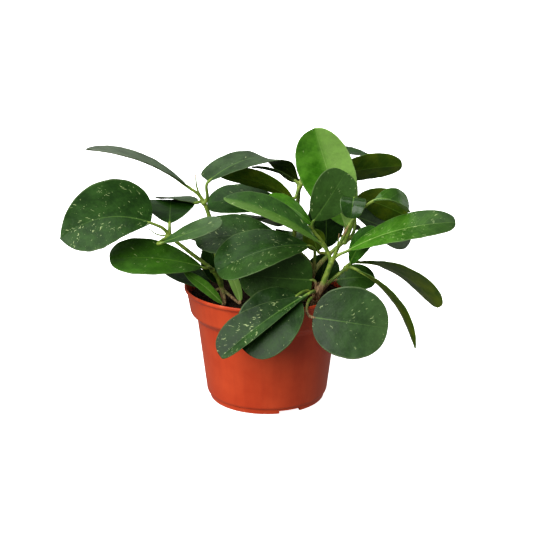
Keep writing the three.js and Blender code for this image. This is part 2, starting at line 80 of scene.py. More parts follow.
class Number:
    """A number socket of a material. An expression on it adds the Math nodes that it needs."""

    def __init__(self, finish, socket):
        self.finish = finish
        self.socket = socket

    def math(self, operation, first, second=0.0):
        return self.finish.node("ShaderNodeMath", {"operation": operation}, {0: first, 1: second})

    def __add__(self, other):
        return self.math("ADD", self, other)

    def __sub__(self, other):
        return self.math("SUBTRACT", self, other)

    def __rsub__(self, other):
        return self.math("SUBTRACT", other, self)

    def __mul__(self, other):
        return self.math("MULTIPLY", self, other)

    def __truediv__(self, other):
        return self.math("DIVIDE", self, other)

    def __pow__(self, other):
        return self.math("POWER", self, other)

    def __abs__(self):
        return self.math("ABSOLUTE", self)

    __radd__ = __add__
    __rmul__ = __mul__

    def above(self, other):
        return self.math("GREATER_THAN", self, other)

    def fold(self, width):
        """Runs up to the width and back again, over and over."""
        return self.math("PINGPONG", self, width)

    def step(self, low, high):
        """0 below low, 1 above high, and a smooth rise between them."""
        settings = {"interpolation_type": "SMOOTHSTEP"}
        sockets = {"Value": self, "From Min": low, "From Max": high}
        return self.finish.node("ShaderNodeMapRange", settings, sockets)


class Finish:
    """A material in the making: one Principled shader, and the nodes that feed it."""

    def __init__(self, name, **constants):
        self.material = bpy.data.materials.new(name)
        self.material.use_nodes = True
        self.tree = self.material.node_tree
        self.shader = self.tree.nodes["Principled BSDF"]
        for socket, value in constants.items():
            self.shader.inputs[socket.replace("_", " ")].default_value = value

    def node(self, kind, settings=None, sockets=None, out=0):
        """Adds a node, sets it up, fills or links its sockets, and gives back one of its outputs."""
        made = self.tree.nodes.new(kind)
        for key, value in (settings or {}).items():
            setattr(made, key, value)
        for key, value in (sockets or {}).items():
            if isinstance(value, Number):
                self.tree.links.new(value.socket, made.inputs[key])
            else:
                made.inputs[key].default_value = value
        return Number(self, made.outputs[out])

    def place(self):
        return self.node("ShaderNodeTexCoord", out="Object")

    def attribute(self, name):
        return self.node("ShaderNodeAttribute", {"attribute_name": name}, out="Vector")

    def split(self, vector):
        """The three parts of a vector."""
        parts = self.node("ShaderNodeSeparateXYZ", {}, {0: vector})
        outputs = parts.socket.node.outputs
        return [Number(self, outputs[axis]) for axis in "XYZ"]

    def vector(self, x, y, z):
        return self.node("ShaderNodeCombineXYZ", {}, {0: x, 1: y, 2: z})

    def stretch(self, vector, scale):
        return self.node("ShaderNodeVectorMath", {"operation": "MULTIPLY"}, {0: vector, 1: scale})

    def cloud(self, vector, size, detail):
        """Cloudy noise from 0 to 1, with lumps of about the size in millimetres."""
        sockets = {"Vector": vector, "Scale": 1 / (size * MM), "Detail": detail, "Roughness": 0.55}
        return self.node("ShaderNodeTexNoise", {}, sockets)

    def cells(self, vector):
        """Cells one unit across: the distance from their middles, and three random numbers for each."""
        found = self.node("ShaderNodeTexVoronoi", {}, {"Vector": vector, "Scale": 1.0}, out="Distance")
        return found, self.split(Number(self, found.socket.node.outputs["Color"]))

    def blend(self, share, first, second):
        """The first colour where the share is 0, and the second where it is 1."""
        return self.node("ShaderNodeMix", {"data_type": "RGBA"}, {0: share, 6: first, 7: second}, out=2)

    def feed(self, socket, value):
        self.tree.links.new(value.socket, self.shader.inputs[socket])

    def bump(self, height, depth, below=None):
        """A bump of so many millimetres, over another bump."""
        sockets = {"Height": height, "Strength": 1.0, "Distance": depth * MM}
        if below:
            sockets["Normal"] = below
        return self.node("ShaderNodeBump", {}, sockets)


def add_object(name, data):
    """Puts a mesh, a light or a camera into the scene."""
    made = bpy.data.objects.new(name, data)
    bpy.context.scene.collection.objects.link(made)
    return made


def mesh_piece(name, points, faces, material=None):
    """A smooth-shaded mesh object from points in metres."""
    mesh = bpy.data.meshes.new(name)
    mesh.from_pydata([tuple(point) for point in points], [], faces)
    mesh.shade_smooth()
    if material:
        mesh.materials.append(material)
    return add_object(name, mesh)


def circle(radius, sides):
    """The (x, y) of so many points evenly round a circle, from +X."""
    turns = [2 * math.pi * k / sides for k in range(sides)]
    return [(radius * math.cos(turn), radius * math.sin(turn)) for turn in turns]


def ring_faces(first, rings, sides):
    """The faces that join rings of so many points each, from a first point on, and close both ends."""
    faces = []
    for i in range(rings - 1):
        for k in range(sides):
            here = first + i * sides + k
            after = first + i * sides + (k + 1) % sides
            faces.append((here, after, after + sides, here + sides))
    faces.append([first + k for k in reversed(range(sides))])
    faces.append([first + (rings - 1) * sides + k for k in range(sides)])
    return faces


def rounded(corners):
    """The run through corners of (radius, height, fillet), each corner rounded off by its fillet."""
    path = []
    for i, (radius, height, fillet) in enumerate(corners):
        here = Vector((radius, height))
        if not fillet:
            path.append(here)
            continue
        before = here + (Vector(corners[i - 1][:2]) - here).normalized() * fillet
        after = here + (Vector(corners[i + 1][:2]) - here).normalized() * fillet
        for k in range(FILLET_STEPS + 1):
            share = k / FILLET_STEPS
            path.append(before * (1 - share) ** 2 + here * 2 * share * (1 - share) + after * share ** 2)
    return path


def turned(name, profile, sides, material):
    """A closed solid turned about the Z axis, from a run in millimetres that starts and ends on the axis."""
    points = [(0, 0, profile[0].y * MM)]
    for radius, height in profile[1:-1]:
        points += [(x, y, height * MM) for x, y in circle(radius * MM, sides)]
    points.append((0, 0, profile[-1].y * MM))
    faces = []
    rings = len(profile) - 2
    last = len(points) - 1
    for k in range(sides):
        after = (k + 1) % sides
        faces.append((0, 1 + after, 1 + k))
        for ring in range(rings - 1):
            low = 1 + ring * sides
            high = low + sides
            faces.append((low + k, low + after, high + after, high + k))
        top = 1 + (rings - 1) * sides
        faces.append((top + k, top + after, last))
    return mesh_piece(name, points, faces, material)


class Geometry:
    """A Geometry Nodes tree in the making, with named inputs for its sizes."""

    def __init__(self, name):
        self.tree = bpy.data.node_groups.new(name, "GeometryNodeTree")
        self.tree.interface.new_socket("Geometry", in_out="INPUT", socket_type="NodeSocketGeometry")
        self.tree.interface.new_socket("Geometry", in_out="OUTPUT", socket_type="NodeSocketGeometry")
        self.given = self.tree.nodes.new("NodeGroupInput")
        self.result = self.tree.nodes.new("NodeGroupOutput")
        self.sizes = {}

    def size(self, name, value):
        """A named input of the tree, and the socket that carries it."""
        kind = "NodeSocketInt" if isinstance(value, int) else "NodeSocketFloat"
        socket = self.tree.interface.new_socket(name, in_out="INPUT", socket_type=kind)
        self.sizes[socket.identifier] = value
        return self.given.outputs[name]

    def node(self, kind, settings=None, sockets=None, out=0):
        made = self.tree.nodes.new(kind)
        for key, value in (settings or {}).items():
            setattr(made, key, value)
        for key, value in (sockets or {}).items():
            for one in value if isinstance(value, list) else [value]:
                if isinstance(one, bpy.types.NodeSocket):
                    self.tree.links.new(one, made.inputs[key])
                else:
                    made.inputs[key].default_value = one
        return made.outputs[out]

    def run(self, piece, last, material):
        """Ends the tree in real meshes of the material, and leaves the piece with the result as its mesh."""
        real = self.node("GeometryNodeRealizeInstances", {}, {0: last})
        done = self.node("GeometryNodeSetMaterial", {}, {"Geometry": real, "Material": material})
        self.tree.links.new(done, self.result.inputs[0])
        modifier = piece.modifiers.new("build", "NODES")
        modifier.node_group = self.tree
        for identifier, value in self.sizes.items():
            modifier[identifier] = value
        made = piece.evaluated_get(bpy.context.evaluated_depsgraph_get())
        mesh = bpy.data.meshes.new_from_object(made)
        piece.modifiers.remove(modifier)
        piece.data = mesh


def terracotta_plastic():
    finish = Finish("terracotta plastic", Roughness=0.42, IOR=1.48)
    place = finish.place()
    x, y, z = finish.split(place)
    flow = finish.cloud(finish.stretch(place, (1, 1, 0.08)), 9, 2)
    patches = finish.cloud(place, 38, 3)
    specks = finish.cloud(place, 1.1, 2).step(0.62, 0.72)
    colour = finish.blend(patches.step(0.3, 0.7), srgb(197, 71, 33), srgb(212, 85, 44))
    colour = finish.blend(flow.step(0.4, 0.75) * 0.25, colour, srgb(176, 56, 24))
    colour = finish.blend(specks * 0.18, colour, srgb(224, 112, 74))
    edges = z.step((POT_HEIGHT - 3) * MM, POT_HEIGHT * MM) + (1 - z.step(0.5 * MM, 4 * MM))
    worn = finish.cloud(place, 5, 4).step(0.5, 0.72) * edges
    colour = finish.blend(worn * 0.45, colour, srgb(226, 132, 98))
    radius = (x * x + y * y) ** 0.5
    bore = BAND_FOOT_RADIUS - LIP / 2
    within = 1 - (radius - (z - BAND_FOOT * MM) * BAND_LEAN).step((bore - 0.1) * MM, (bore + 0.5) * MM)
    splashed = z.step(98 * MM, 100 * MM) * (1 - z.step(103 * MM, 113 * MM)) * within
    soiled = finish.cloud(place, 3, 5).step(0.3, 0.6) * splashed
    colour = finish.blend(soiled * 0.85, colour, srgb(58, 38, 26))
    finish.feed("Base Color", colour)
    finish.feed("Roughness", 0.36 + 0.12 * patches + 0.14 * worn + 0.3 * soiled)
    grain = finish.bump(finish.cloud(place, 0.7, 2), 0.035)
    finish.feed("Normal", finish.bump(finish.cloud(finish.stretch(place, (1, 1, 0.2)), 26, 1), 0.35, grain))
    return finish.material


def pot():
    inner = RIM_RADIUS - LIP
    floor = FOOT_DEPTH + WALL
    profile = rounded([
        (0, 0, 0),
        (PAD_RADIUS, 0, 0.5),
        (PAD_RADIUS + 1, FOOT_DEPTH, 0.5),
        (FOOT_RADIUS - 3.4, FOOT_DEPTH, 0.5),
        (FOOT_RADIUS - 2.6, 0, 0.6),
        (FOOT_RADIUS, 0, 0.8),
        (FOOT_RADIUS + 0.4, HEEL_HEIGHT - 2, 0.6),
        (HEEL_RADIUS - 0.8, HEEL_HEIGHT - 1, 0.9),
        (HEEL_RADIUS, HEEL_HEIGHT + 1, 1),
        (NECK_RADIUS, NECK_HEIGHT, 1.6),
        (BAND_FOOT_RADIUS, BAND_FOOT, 1.6),
        (BAND_TOP_RADIUS, POT_HEIGHT - 5.2, 1.2),
        (RIM_RADIUS, POT_HEIGHT - 3, 0.9),
        (RIM_RADIUS, POT_HEIGHT - 0.4, 0.4),
        (RIM_RADIUS - 0.6, POT_HEIGHT, 0.3),
        (inner, POT_HEIGHT, 0.5),
        (BAND_TOP_RADIUS - WALL, POT_HEIGHT - 5, 1),
        (BAND_FOOT_RADIUS - WALL, BAND_FOOT + 0.6, 1.4),
        (NECK_RADIUS - WALL, NECK_HEIGHT + 0.6, 1.4),
        (HEEL_RADIUS - WALL, HEEL_HEIGHT + 1, 1),
        (FOOT_RADIUS - 1.6, floor, 1),
        (0, floor, 0),
    ])
    plastic = terracotta_plastic()
    made = turned("moulded_pot", profile, POT_SIDES, plastic)
    cuts = Geometry("foot slots and drain holes")
    slots = {name: cuts.size(name, value) for name, value in {**SLOTS, **DRAINS}.items()}
    block = cuts.node("ShaderNodeCombineXYZ", {},
                      {0: slots["Slot length"], 1: slots["Slot width"], 2: slots["Slot height"]})
    stations = cuts.node("GeometryNodeMeshCircle", {},
                         {"Vertices": slots["Slot count"], "Radius": slots["Slot ring radius"]})
    outward = cuts.node("FunctionNodeAlignRotationToVector", {"axis": "X", "pivot_axis": "Z"},
                        {"Vector": cuts.node("GeometryNodeInputPosition")})
    boxes = cuts.node("GeometryNodeInstanceOnPoints", {}, {
        "Points": stations, "Instance": cuts.node("GeometryNodeMeshCube", {}, {"Size": block}),
        "Rotation": outward})
    turn = cuts.node("ShaderNodeCombineXYZ", {}, {2: slots["First slot angle"]})
    boxes = cuts.node("GeometryNodeTransform", {}, {"Geometry": boxes, "Rotation": turn})
    drill = cuts.node("GeometryNodeMeshCylinder", {},
                      {"Vertices": DRAIN_SIDES, "Radius": slots["Drain radius"], "Depth": DRILL_LENGTH * MM})
    ring = cuts.node("GeometryNodeMeshCircle", {},
                     {"Vertices": slots["Drain count"], "Radius": slots["Drain ring radius"]})
    drills = cuts.node("GeometryNodeInstanceOnPoints", {}, {"Points": ring, "Instance": drill})
    cutters = cuts.node("GeometryNodeJoinGeometry", {}, {0: [boxes, drills]})
    cutters = cuts.node("GeometryNodeRealizeInstances", {}, {0: cutters})
    body = cuts.node("GeometryNodeMeshBoolean", {"operation": "DIFFERENCE"},
                     {"Mesh 1": cuts.given.outputs[0], "Mesh 2": cutters})
    cuts.run(made, body, plastic)
    made.data.shade_smooth()
    made.data.set_sharp_from_angle(angle=math.radians(CREASE_DEG))
    return made


moulded_pot = pot()
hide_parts("pot")
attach(moulded_pot, "root")


# ---------------------------------------------------------------------------------------------------------
# The soil: dark peaty potting mix, pressed in by hand to a thumb's breadth under the lip. Loose crumbs and
# bits of bark lie on its uneven top.

SOIL_LEVEL = 103
SOIL_RELIEF = 1.5
SOIL_EDGE = BAND_TOP_RADIUS - WALL - 2.4
SOIL_GAP = 0.35
SOIL_RINGS = 30
SOIL_SIDES = 120
CRUMBS = {"Crumbs": 190000.0, "Crumb spacing": 1.5 * MM, "Crumb size": 1.1 * MM, "Crumb seed": 4}
CHIPS = {"Chips": 30000.0, "Chip spacing": 5 * MM, "Chip size": 2.3 * MM, "Chip seed": 11}


def soil_height(x, y):
    """The height of the soil's top, in millimetres, which flattens out at the wall."""
    wave = math.sin(x / 9 + 1) * math.cos(y / 11) + 0.5 * math.sin((x - y) / 6)
    fade = min(1, (SOIL_EDGE - math.hypot(x, y)) / 8)
    grain = noise.noise(Vector((x, y, 0)) / 2.2) + 0.5 * noise.noise(Vector((x, y, 9)))
    return SOIL_LEVEL + SOIL_RELIEF * wave * max(fade, 0) + 0.5 * grain


def potting_mix():
    finish = Finish("dark potting mix", Roughness=0.93, Specular_IOR_Level=0.25)
    place = finish.place()
    lumps = finish.cloud(place, 4, 4)
    fibres = finish.cloud(finish.stretch(place, (1, 0.25, 1)), 1.6, 3)
    colour = finish.blend(lumps.step(0.3, 0.7), srgb(34, 24, 17), srgb(62, 45, 32))
    colour = finish.blend(fibres.step(0.6, 0.72) * 0.6, colour, srgb(104, 78, 52))
    finish.feed("Base Color", colour)
    finish.feed("Normal", finish.bump(finish.cloud(place, 1.2, 5), 0.5))
    return finish.material


def soil():
    body = [
        (0, FOOT_DEPTH + WALL + SOIL_GAP),
        (FOOT_RADIUS - 2.2, FOOT_DEPTH + WALL + SOIL_GAP),
        (HEEL_RADIUS - WALL - 0.6, HEEL_HEIGHT + 1.4),
        (NECK_RADIUS - WALL - 0.5, NECK_HEIGHT + 0.8),
        (BAND_FOOT_RADIUS - WALL - 0.6, BAND_FOOT + 0.8),
    ]
    body += [(SOIL_EDGE * i / SOIL_RINGS, SOIL_LEVEL) for i in range(SOIL_RINGS, -1, -1)]
    mix = potting_mix()
    made = turned("potting_soil", [Vector(corner) for corner in body], SOIL_SIDES, mix)
    for vertex in made.data.vertices:
        if vertex.co.z > (SOIL_LEVEL - 1) * MM:
            vertex.co.z = soil_height(vertex.co.x / MM, vertex.co.y / MM) * MM
    litter = Geometry("crumbs and bark chips")
    crumb = {name: litter.size(name, value) for name, value in {**CRUMBS, **CHIPS}.items()}
    height = litter.node("ShaderNodeSeparateXYZ", {}, {0: litter.node("GeometryNodeInputPosition")}, 2)
    top = litter.node("FunctionNodeCompare", {"operation": "GREATER_THAN"},
                      {0: height, 1: (SOIL_LEVEL - 2.5) * MM})
    given = litter.given.outputs[0]
    layers = [given]
    ball = litter.node("GeometryNodeMeshIcoSphere", {}, {"Radius": 1.0, "Subdivisions": 1})
    chip = litter.node("GeometryNodeMeshCube", {}, {"Size": (2.4, 0.9, 0.35)})
    for label, shape, low, high in (("Crumb", ball, (0.35, 0.3, 0.25), (1.0, 0.85, 0.65)),
                                    ("Chip", chip, (0.4, 0.4, 0.5), (1.2, 1.2, 1.2))):
        seed = crumb[f"{label} seed"]
        spots = litter.node("GeometryNodeDistributePointsOnFaces", {"distribute_method": "POISSON"}, {
            "Mesh": given, "Selection": top, "Distance Min": crumb[f"{label} spacing"],
            "Density Max": crumb[f"{label}s"], "Seed": seed})
        turn = litter.node("FunctionNodeRandomValue", {"data_type": "FLOAT_VECTOR"},
                           {0: (-0.5, -0.5, 0.0), 1: (0.5, 0.5, 2 * math.pi), "Seed": seed})
        spread = litter.node("FunctionNodeRandomValue", {"data_type": "FLOAT_VECTOR"},
                             {0: low, 1: high, "Seed": seed})
        scale = litter.node("ShaderNodeVectorMath", {"operation": "SCALE"},
                            {0: spread, "Scale": crumb[f"{label} size"]})
        bits = litter.node("GeometryNodeInstanceOnPoints", {},
                           {"Points": spots, "Instance": shape, "Rotation": turn, "Scale": scale})
        layers.append(litter.node("GeometryNodeRealizeInstances", {}, {0: bits}))
    litter.run(made, litter.node("GeometryNodeJoinGeometry", {}, {0: layers}), mix)
    return made


potting_soil = soil()
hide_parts("soil")
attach(potting_soil, "root")


# ---------------------------------------------------------------------------------------------------------
# The stems: five rooted shoots, each grown in one piece with its branches, swollen nodes, leaf stalks and
# bare young tips. They are green and smooth, and turn brown and corky at the foot. Each stalk runs on into
# the midrib under its blade, so the blades are laid out here too.

# Each line is a run of (x, y, z, radius) in millimetres, and the first line of a stem stands in the soil.
# Stalks spring from the nodes, shoots are the bare tips, a dry spot is brown as far as its last number, and
# a corky stem is brown so far above the soil.
STEMS = {
    "left": {
        "lines": [
            [(-43, -20, 108, 2.6), (-46, -19, 128, 2.5), (-51, -18, 160, 2.3), (-56, -17, 190, 2.2),
             (-61, -18, 205, 2)],
            [(-45, -20, 120, 2.3), (-53, -28, 139, 2.1), (-72, -37, 158, 2), (-93, -42, 177, 1.8)],
        ],
        "nodes": {"top": (-61, -18, 204), "side": (-93, -42, 177), "low": (-53, -28, 139),
                  "foot": (-44, -20, 116)},
        "shoots": [
            [(-61, -18, 205, 1.5), (-67, -17, 217, 1), (-69, -16, 232, 0.5)],
            [(-93, -42, 178, 1), (-104, -46, 180, 0.7), (-112, -50, 187, 0.5)],
        ],
        "dry": [(-69, -16, 234, 10)],
    },
    "front": {
        "lines": [
            [(45, -44, 106, 3.6), (47, -49, 117, 3.7), (54, -51, 134, 2.9), (61, -52, 154, 2.6)],
            [(47, -47, 117, 2.2), (59, -42, 130, 1.8), (76, -38, 144, 1.7)],
        ],
        "nodes": {"wood": (47, -49, 117), "fork": (61, -52, 154), "right": (76, -38, 144)},
        "shoots": [[(61, -52, 154, 1.7), (66, -55, 168, 1.1), (68, -56, 184, 0.5)]],
        "dry": [(48, -48, 119, 24), (68, -56, 188, 14)],
    },
    "middle": {
        "corky": 90,
        "lines": [
            [(40, -20, 108, 3), (43, -27, 124, 2.8), (46, -30, 139, 2.7), (60, -20, 152, 2.2),
             (76, -12, 164, 2)],
        ],
        "nodes": {"foot": (41, -23, 116), "knob": (46, -30, 139), "bend": (60, -20, 152),
                  "top": (76, -12, 163)},
    },
    "back": {
        "lines": [[(22, 16, 108, 2.8), (25, 18, 140, 2.6), (29, 15, 180, 2.3), (32, 12, 214, 2)]],
        "nodes": {"foot": (23, 17, 122), "half": (28, 16, 168), "top": (32, 12, 213)},
    },
    "rear": {
        "lines": [
            [(-14, 30, 108, 2.8), (-20, 36, 125, 2.6), (-27, 44, 145, 2.3), (-30, 50, 160, 2)],
            [(-15, 31, 116, 2.2), (0, 46, 128, 2), (18, 58, 140, 1.8)],
        ],
        "nodes": {"foot": (-16, 32, 117), "top": (-30, 50, 159), "side": (18, 58, 139)},
    },
}

# Each blade: the stem and node where its stalk springs, its base and tip, its width, how far its midrib
# arches, the way its upper side looks, and how flecked and how pale it is, a paleness that is partly its
# own tone and partly painted shade and light, darker where the blade lies in shadow, with its sheen, which
# above zero paints a dull grey reflection onto the skin, and below zero makes it shine. Most are old and
# oval. The rest have an age, or the narrowness of their base and tip, or a left half of its own. Some have
# a deeper cup or sharper fold, a twist in degrees that comes mostly near the tip, an arch whose crown is
# nearer the base, a sideways sweep, or a stalk that first leans by so many millimetres. Painted light may
# make the right half of a blade lighter and the left darker, or below zero the reverse, and may make it
# lighter towards the tip, or below zero towards the base.
LEAVES = {
    "left_1": dict(
        node="left side", base=(-110, -50, 192.5), tip=(-191.5, -77, 184), width=74, arch=6,
        face=(-0.05, -0.75, 0.65), ends=(0.5, 0.95), left=(0.8, 0.4, 0.88), cup=0.19, sweep=11,
        look=(0.8, 0.47, 0.05)),
    "left_2": dict(
        node="left side", base=(-93, -38, 189), tip=(-96, 32, 194), width=48, arch=4, face=(0, -0.1, 1),
        ends=(0.7, 0.45), look=(0.12, 0.45, 0)),
    "left_3": dict(
        node="left side", base=(-98, -64, 177), tip=(-42, -56, 196), width=30, arch=0, face=(-0.2, -0.3, 1),
        ends=(0.85, 0.45), stalk=(-10, -10, -2), age="mid", look=(0.35, 0.36, 0.3)),
    "left_4": dict(
        node="left low", base=(-62, -42, 146), tip=(-148, -66, 161), width=54, arch=6, face=(0, -0.4, 0.92),
        ends=(0.8, 0.42), age="mid", look=(0.5, 0.56, 0)),
    "left_5": dict(
        node="left foot", base=(-56, -12, 114), tip=(-102, 2, 133), width=38, arch=4, face=(0, -0.2, 1),
        ends=(0.7, 0.5), look=(0, 0.3, 0)),
    "left_6": dict(
        node="left top", base=(-76, -22, 221), tip=(-171, -30, 259), width=52, arch=8, face=(0.2, 0.09, 1),
        ends=(0.8, 0.6), cup=0.14, look=(0.08, 0.5, 0.6)),
    "left_7": dict(
        node="left top", base=(-56, -22, 226), tip=(32, 40, 212), width=40, arch=24, face=(0, -0.2, 1),
        ends=(0.9, 1.2), left=(0.13, 0.42, 1), cup=0.1, twist=-80, stalk=(7, 0, 0), look=(0.15, 0.44, 0.35),
        painted_light_to_tip=0.2),
    "left_8": dict(
        node="left top", base=(-70, -6, 201), tip=(-108, 50, 191.5), width=32, arch=2,
        face=(-0.05, 0.28, 1), ends=(0.7, 0.5), look=(0, 0.5, 0.3)),
    "left_9": dict(
        node="left foot", base=(-43, -43, 109.5), tip=(-79, -48, 143), width=12, arch=3,
        face=(0.5, -0.7, 0.5), ends=(0.7, 0.6), age="young", look=(0, 0.55, 0)),
    "left_10": dict(
        node="left foot", base=(-26, -35, 110), tip=(-44, -31, 152), width=10, arch=2, face=(-0.2, -1, 0.1),
        ends=(0.45, 0.5), sweep=3, stalk=(6, -10, 0), age="young", look=(0, 0.85, 0)),
    "left_11": dict(
        node="left foot", base=(-46, -4, 118), tip=(-58, 4, 154), width=28, arch=2, face=(0.3, -0.9, 0.2),
        look=(0, 0.3, 0)),
    "mid_1": dict(
        node="middle knob", base=(14, -24, 165), tip=(-69, -36, 172), width=52, arch=8,
        face=(0, -0.55, 0.85), ends=(0.6, 0.45), look=(0.7, 0.52, 0.1)),
    "mid_2": dict(
        node="middle knob", base=(40, -44, 168), tip=(-46, -74, 150), width=56, arch=12,
        face=(-0.2, -0.5, 0.85), ends=(0.8, 0.42), cup=0.18, fold=0.8, look=(1.0, 0.51, 0.05), painted_light=-0.12),
    "mid_3": dict(
        node="front wood", base=(43, -50, 136), tip=(-26, -54, 142), width=54, arch=3,
        face=(0, -0.97, 0.25), ends=(0.34, 0.45), look=(0.3, 0.62, 0)),
    "mid_4": dict(
        node="middle bend", base=(50, -13, 154), tip=(42, -13, 176), width=22, arch=1, face=(0.1, 0.9, 0.2),
        age="mid", look=(0, 0.4, 0)),
    "mid_5": dict(
        node="middle bend", base=(59, 7, 152), tip=(58, 10, 204), width=36, arch=3, face=(0, -1, 0.2),
        look=(0, 0.2, 0)),
    "mid_6": dict(
        node="middle foot", base=(53, -9, 120), tip=(58, -5, 148), width=32, arch=2, face=(0, -1, 0.1),
        ends=(0.5, 0.5), look=(0, 0.3, 0)),
    "top_1": dict(
        node="middle top", base=(77, -9, 178), tip=(46, -2, 274), width=54, arch=-6, face=(-0.2, -0.9, 0.2),
        ends=(0.55, 0.43), left=(0.75, 0.42, 1), cup=0.32, fold=0.9, sweep=-1.5, age="young",
        look=(0.03, 0.68, 0), painted_light=0.35, painted_light_to_tip=-0.15),
    "top_2": dict(
        node="middle bend", base=(45, -28, 189), tip=(75, -25, 236), width=40, arch=3,
        face=(0.2, -0.95, 0.2), ends=(0.7, 0.38), look=(0.28, 0.63, 0.05)),
    "top_3": dict(
        node="middle top", base=(81.5, -50, 216.5), tip=(77.5, -72, 203), width=23.5, arch=8,
        face=(0, -0.7, 0.7), ends=(0.35, 0.35), stalk=(12, -4, 20), age="mid", look=(0, 0.14, -0.5)),
    "top_4": dict(
        node="back top", base=(62, 14, 222), tip=(134, 26, 231), width=35, arch=4, face=(0.1, 0.8, 0.5),
        ends=(0.6, 0.45), age="mid", look=(0, 0.4, 0)),
    "top_5": dict(
        node="back top", base=(50, 24, 244), tip=(106, 40, 236), width=30, arch=4, face=(0.1, -0.05, 1),
        look=(0, 0.4, 0)),
    "top_6": dict(
        node="middle top", base=(88, 0, 205), tip=(138, 8, 184), width=36, arch=4, face=(0.1, 0.9, 0.35),
        ends=(0.55, 0.5), left=(1.2, 0.6, 1), stalk=(20, 4, 0), age="mid", look=(0, 0.5, 0)),
    "top_7": dict(
        node="middle top", base=(87, 16, 182), tip=(144, 20, 155), width=32, arch=3, face=(0.3, -0.8, 0.5),
        ends=(1.3, 0.5), left=(0.45, 0.7, 1), look=(0, 0.45, 0.5)),
    "front_1": dict(
        node="front wood", base=(37, -79, 130.5), tip=(-42.5, -112, 80.5), width=43, arch=7,
        face=(-0.35, -0.75, 0.55), ends=(1.15, 0.45), left=(0.85, 0.45, 0.4), cup=0.16, look=(1.8, 0.36, 0),
        painted_light=-0.25),
    "front_2": dict(
        node="front wood", base=(28, -75, 128), tip=(-19, -101, 81), width=62, arch=5,
        face=(-0.15, -0.85, 0.5), ends=(0.42, 0.45), left=(0.5, 0.42, 0.86), look=(0.25, 0.3, 0)),
    "front_3": dict(
        node="front wood", base=(43, -84, 110), tip=(113, -90, 101), width=67, arch=4,
        face=(0.1, -0.9, 0.35), ends=(0.45, 0.45), stalk=(-6, -14, 16), look=(0.4, 0.42, 0.15), painted_light_to_tip=0.5),
    "front_4": dict(
        node="front fork", base=(50, -54, 174), tip=(-40, -72, 222), width=37, arch=8, face=(0.2, -0.35, 1),
        ends=(1.15, 0.85), left=(0.7, 0.5, 1.24), cup=0.28, fold=0.8, age="mid", look=(0.35, 0.62, 0.12),
        painted_light=-0.5),
    "front_5": dict(
        node="front fork", base=(78, -57, 168), tip=(174, -78, 200), width=41, arch=8,
        face=(-0.2, -0.35, 0.9), ends=(0.75, 0.4), age="young", look=(0.9, 0.24, 0), painted_light_to_tip=-0.5),
    "front_6": dict(
        node="front fork", base=(100, -50, 214), tip=(134, -42, 201), width=26, arch=6, crown=0.25,
        face=(0.38, -0.2, 0.9), left=(1.3, 0.35, 1.25), cup=0.5, fold=0.9, stalk=(2, 0, 10), age="young",
        look=(0, 0.16, -0.5)),
    "right_1": dict(
        node="front right", base=(80, -42, 150), tip=(104, -44, 186), width=26, arch=4,
        face=(-0.7, -0.6, 0.5), ends=(0.7, 0.5), age="mid", look=(0, 0.5, 0)),
    "right_2": dict(
        node="front right", base=(88, -30, 148), tip=(169, -20, 98), width=50, arch=12,
        face=(0.5, 0.45, 0.7), ends=(0.7, 0.42), age="mid", look=(0, 0.62, 0)),
    "right_3": dict(
        node="front right", base=(88, -46, 144), tip=(143, -60, 70), width=24, arch=11.5,
        face=(0.8, 0.35, 0.4), ends=(0.8, 0.7), age="mid", look=(0, 0.62, 0)),
    "right_4": dict(
        node="middle foot", base=(68, -22, 127), tip=(106, -18, 127), width=28, arch=4, face=(0, -0.7, 0.7),
        ends=(0.5, 0.45), look=(0, 0.6, 0)),
    "back_1": dict(
        node="back top", base=(27, 13, 219), tip=(-15, 18, 231), width=22, arch=3, face=(0.3, 0.3, 1),
        ends=(0.7, 0.6)),
    "back_2": dict(
        node="back top", base=(25, 1, 204), tip=(-46, 2, 227), width=38, arch=6, face=(-0.1, 0.6, 0.8),
        ends=(0.7, 0.5), age="mid"),
    "back_3": dict(
        node="back half", base=(14, 12, 195), tip=(-59, 14, 195), width=46, arch=5, face=(0, -0.4, 0.9),
        ends=(0.7, 0.42)),
    "back_4": dict(
        node="back half", base=(43, -16, 182), tip=(0, -24, 210), width=37, arch=4, face=(0.3, -0.2, 0.9),
        age="young"),
    "back_5": dict(
        node="back half", base=(38, 24, 172), tip=(92, 60, 156), width=46, arch=7, face=(0.1, 0.1, 1),
        ends=(0.6, 0.5)),
    "back_6": dict(
        node="back half", base=(20, 28, 176), tip=(-12, 92, 168), width=48, arch=7, face=(0, 0.2, 1),
        ends=(0.6, 0.5)),
    "rear_1": dict(
        node="rear top", base=(-42, 60, 156), tip=(-70, 118, 126), width=50, arch=4, face=(-0.1, 0.4, 1),
        ends=(0.6, 0.5)),
    "rear_2": dict(
        node="rear top", base=(-20, 60, 163), tip=(12, 124, 142), width=50, arch=8, face=(0.1, 0.4, 1),
        ends=(0.65, 0.45)),
    "rear_3": dict(
        node="rear side", base=(24, 68, 144), tip=(44, 138, 118), width=52, arch=9, face=(0.1, 0.4, 1),
        ends=(0.6, 0.45), age="mid"),
    "rear_4": dict(
        node="rear side", base=(30, 54, 146), tip=(96, 84, 134), width=48, arch=8, face=(0.2, 0.2, 1),
        ends=(0.6, 0.5)),
    "rear_5": dict(
        node="rear foot", base=(-26, 40, 128), tip=(-58, 98, 118), width=46, arch=8, face=(-0.1, 0.2, 1),
        ends=(0.6, 0.5)),
    "rear_6": dict(
        node="rear foot", base=(-6, 48, 126), tip=(2, 118, 112), width=48, arch=9, face=(0, 0.3, 1),
        ends=(0.6, 0.45), age="mid"),
}
STALK_START = 1.8
STALK_END = 1.35
STALK_STEPS = 14
TUBE_SIDES = 12
TUBE_STEP = 2.0
STALK_LEAN = 0.25
STALK_APPROACH = 0.35
RUN_ON_STEPS = 8
RUN_ON_STEP = 0.045
RUN_ON_END = 0.4
RUN_ON_DEPTH = 0.55
ROOT_FOOT = 98
CORKY_FOOT = 32
GROWTH_WAVE = 0.06
NODE_SIZE = 3.0
NODE_RINGS = 10
VOXEL = 0.42


